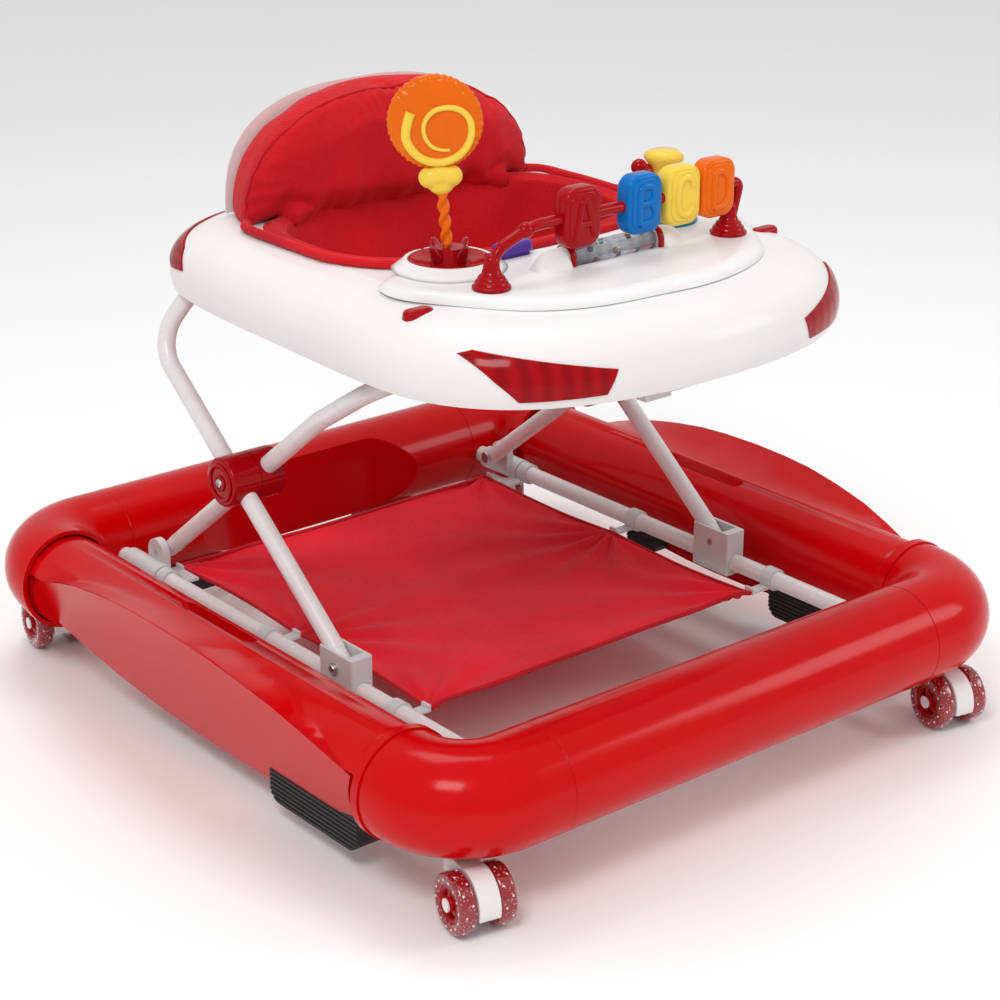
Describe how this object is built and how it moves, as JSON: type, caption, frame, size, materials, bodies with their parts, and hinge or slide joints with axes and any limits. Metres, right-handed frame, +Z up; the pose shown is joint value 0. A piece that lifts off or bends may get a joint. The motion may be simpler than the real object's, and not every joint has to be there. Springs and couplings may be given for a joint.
{
  "type": "baby walker",
  "caption": "Four-wheel baby walker: moulded ring base on swivel casters, crossed-leg height frame, fabric seat in a car-like tray with play toys.",
  "frame": {"origin": "on the floor under the middle of the base ring", "axes": "+Z up, the child faces -Y, +X to the child's left"},
  "size_m": [0.6856, 0.722, 0.5935],
  "materials": {
    "shell_white": "glossy",
    "rail_red": "glossy",
    "tube_white": "powder coat",
    "fitting_grey": "satin",
    "rubber_black": "ridged",
    "cloth_red": "woven",
    "steel": "plated",
    "toy_red": "glossy",
    "toy_blue": "glossy",
    "toy_yellow": "glossy",
    "toy_orange": "glossy",
    "toy_purple": "glossy",
    "toy_teal": "glossy",
    "lamp_clear": "moulded lens",
    "lamp_red": "moulded lens",
    "wheel_red": "translucent tread"
  },
  "bodies": {
    "base": {"front_rail": "rail_red", "rear_rail": "rail_red", "corner_front_left": "rail_red", "corner_front_right": "rail_red", "corner_rear_left": "rail_red", "corner_rear_right": "rail_red", "side_rail_left": "rail_red", "side_rail_right": "rail_red", "brake_pads": "rubber_black", "side_tube_left": "tube_white", "side_tube_right": "tube_white", "rear_joints": "fitting_grey", "rear_pivot_pins": "steel", "foot_mat": "cloth_red", "mat_clips": "fitting_grey"},
    "caster_front_left": {"caster_fork_front_left": "shell_white"},
    "wheel_inner_front_left": {"wheel_inner_front_left": "wheel_red"},
    "wheel_outer_front_left": {"wheel_outer_front_left": "wheel_red"},
    "caster_front_right": {"caster_fork_front_right": "shell_white"},
    "wheel_inner_front_right": {"wheel_inner_front_right": "wheel_red"},
    "wheel_outer_front_right": {"wheel_outer_front_right": "wheel_red"},
    "caster_rear_left": {"caster_fork_rear_left": "shell_white"},
    "wheel_inner_rear_left": {"wheel_inner_rear_left": "wheel_red"},
    "wheel_outer_rear_left": {"wheel_outer_rear_left": "wheel_red"},
    "caster_rear_right": {"caster_fork_rear_right": "shell_white"},
    "wheel_inner_rear_right": {"wheel_inner_rear_right": "wheel_red"},
    "wheel_outer_rear_right": {"wheel_outer_rear_right": "wheel_red"},
    "inner_legs": {"inner_leg_frame": "tube_white", "hub_inner_clamps": "toy_red"},
    "outer_legs": {"outer_leg_frame": "tube_white", "hub_outer_clamps": "toy_red"},
    "sliders": {"slider_left": "fitting_grey", "slider_right": "fitting_grey", "slider_pins": "steel"},
    "tray": {"tray_shell": "shell_white", "play_console": "shell_white", "headlight_left": "lamp_red", "headlight_right": "lamp_red", "tail_lights": "lamp_red", "height_rack": "fitting_grey", "height_lever": "fitting_grey", "pivot_saddles": "fitting_grey", "back_shell": "shell_white", "backrest_pad": "cloth_red", "seat_pouch": "cloth_red", "letter_bar": "toy_red", "roller_stands": "shell_white", "lollipop_base": "toy_red", "spinner_base": "toy_teal"},
    "bead_a": {"bead_a": "toy_red"},
    "bead_b": {"bead_b": "toy_blue"},
    "bead_c": {"bead_c": "toy_yellow"},
    "bead_d": {"bead_d": "toy_orange"},
    "rattle_roller": {"rattle_roller": "lamp_clear"},
    "lollipop": {"lollipop": "toy_orange"},
    "spinner": {"spinner": "toy_yellow", "spinner_nose": "toy_red"},
    "squeaker": {"squeaker_button": "toy_purple"},
    "latch_left": {"console_latch_left": "toy_red"},
    "latch_right": {"console_latch_right": "toy_red"}
  },
  "joints": [
    {"name": "swivel_front_left", "type": "hinge", "parent": "base", "child": "caster_front_left", "pos_m": [0.269, -0.299, 0.06], "axis": [0, 0, 1], "continuous": true},
    {"name": "spin_inner_front_left", "type": "hinge", "parent": "caster_front_left", "child": "wheel_inner_front_left", "pos_m": [0.26318, -0.32639, 0.025], "axis": [0.9781, -0.2079, 0], "continuous": true},
    {"name": "spin_outer_front_left", "type": "hinge", "parent": "caster_front_left", "child": "wheel_outer_front_left", "pos_m": [0.26318, -0.32639, 0.025], "axis": [0.9781, -0.2079, 0], "continuous": true},
    {"name": "swivel_front_right", "type": "hinge", "parent": "base", "child": "caster_front_right", "pos_m": [-0.269, -0.299, 0.06], "axis": [0, 0, 1], "continuous": true},
    {"name": "spin_inner_front_right", "type": "hinge", "parent": "caster_front_right", "child": "wheel_inner_front_right", "pos_m": [-0.27482, -0.32639, 0.025], "axis": [0.9781, -0.2079, 0], "continuous": true},
    {"name": "spin_outer_front_right", "type": "hinge", "parent": "caster_front_right", "child": "wheel_outer_front_right", "pos_m": [-0.27482, -0.32639, 0.025], "axis": [0.9781, -0.2079, 0], "continuous": true},
    {"name": "swivel_rear_left", "type": "hinge", "parent": "base", "child": "caster_rear_left", "pos_m": [0.269, 0.299, 0.06], "axis": [0, 0, 1], "continuous": true},
    {"name": "spin_inner_rear_left", "type": "hinge", "parent": "caster_rear_left", "child": "wheel_inner_rear_left", "pos_m": [0.27858, 0.32531, 0.025], "axis": [-0.9397, 0.342, 0], "continuous": true},
    {"name": "spin_outer_rear_left", "type": "hinge", "parent": "caster_rear_left", "child": "wheel_outer_rear_left", "pos_m": [0.27858, 0.32531, 0.025], "axis": [-0.9397, 0.342, 0], "continuous": true},
    {"name": "swivel_rear_right", "type": "hinge", "parent": "base", "child": "caster_rear_right", "pos_m": [-0.269, 0.299, 0.06], "axis": [0, 0, 1], "continuous": true},
    {"name": "spin_inner_rear_right", "type": "hinge", "parent": "caster_rear_right", "child": "wheel_inner_rear_right", "pos_m": [-0.2651, 0.32673, 0.025], "axis": [-0.9903, 0.1392, 0], "continuous": true},
    {"name": "spin_outer_rear_right", "type": "hinge", "parent": "caster_rear_right", "child": "wheel_outer_rear_right", "pos_m": [-0.2651, 0.32673, 0.025], "axis": [-0.9903, 0.1392, 0], "continuous": true},
    {"name": "fold", "type": "hinge", "parent": "base", "child": "inner_legs", "pos_m": [0, 0.226, 0.11], "axis": [1, 0, 0], "range_deg": [0, 9.7]},
    {"name": "cross", "type": "hinge", "parent": "inner_legs", "child": "outer_legs", "pos_m": [0, 0.073, 0.23], "axis": [1, 0, 0], "range_deg": [-19.6, 0.2]},
    {"name": "slider_turn", "type": "hinge", "parent": "outer_legs", "child": "sliders", "pos_m": [0, -0.08, 0.11], "axis": [1, 0, 0], "range_deg": [-0.2, 9.9]},
    {"name": "tray_tilt", "type": "hinge", "parent": "outer_legs", "child": "tray", "pos_m": [0, 0.166, 0.385], "axis": [1, 0, 0], "range_deg": [-0.2, 12.43]},
    {"name": "bead_a_spin", "type": "hinge", "parent": "tray", "child": "bead_a", "pos_m": [-0.04, -0.166, 0.481], "axis": [1, 0, 0], "continuous": true},
    {"name": "bead_b_spin", "type": "hinge", "parent": "tray", "child": "bead_b", "pos_m": [0.026, -0.166, 0.481], "axis": [1, 0, 0], "continuous": true},
    {"name": "bead_c_spin", "type": "hinge", "parent": "tray", "child": "bead_c", "pos_m": [0.069, -0.166, 0.481], "axis": [1, 0, 0], "continuous": true},
    {"name": "bead_d_spin", "type": "hinge", "parent": "tray", "child": "bead_d", "pos_m": [0.1085, -0.166, 0.481], "axis": [1, 0, 0], "continuous": true},
    {"name": "roller_spin", "type": "hinge", "parent": "tray", "child": "rattle_roller", "pos_m": [0.0075, -0.152, 0.444], "axis": [1, 0, 0], "continuous": true},
    {"name": "lollipop_turn", "type": "hinge", "parent": "tray", "child": "lollipop", "pos_m": [-0.116, -0.098, 0.438], "axis": [-0.0677, 0.0548, 0.9962], "continuous": true},
    {"name": "spinner_turn", "type": "hinge", "parent": "tray", "child": "spinner", "pos_m": [0.116, -0.098, 0.46], "axis": [0, 0, 1], "continuous": true},
    {"name": "squeaker_press", "type": "slide", "parent": "tray", "child": "squeaker", "axis": [0, 0, -1], "range_m": [0, 0.003], "stiffness_N_per_m": 400, "springref_m": -0.0005},
    {"name": "latch_left_press", "type": "slide", "parent": "tray", "child": "latch_left", "axis": [0, 0, -1], "range_m": [0, 0.003], "stiffness_N_per_m": 400, "springref_m": -0.0005},
    {"name": "latch_right_press", "type": "slide", "parent": "tray", "child": "latch_right", "axis": [0, 0, -1], "range_m": [0, 0.003], "stiffness_N_per_m": 400, "springref_m": -0.0005}
  ],
  "couplings": [
    {"joint": "cross", "follows": "fold", "ratio": -2},
    {"joint": "slider_turn", "follows": "fold", "ratio": 1},
    {"joint": "tray_tilt", "follows": "fold", "ratio": 1.261}
  ]
}
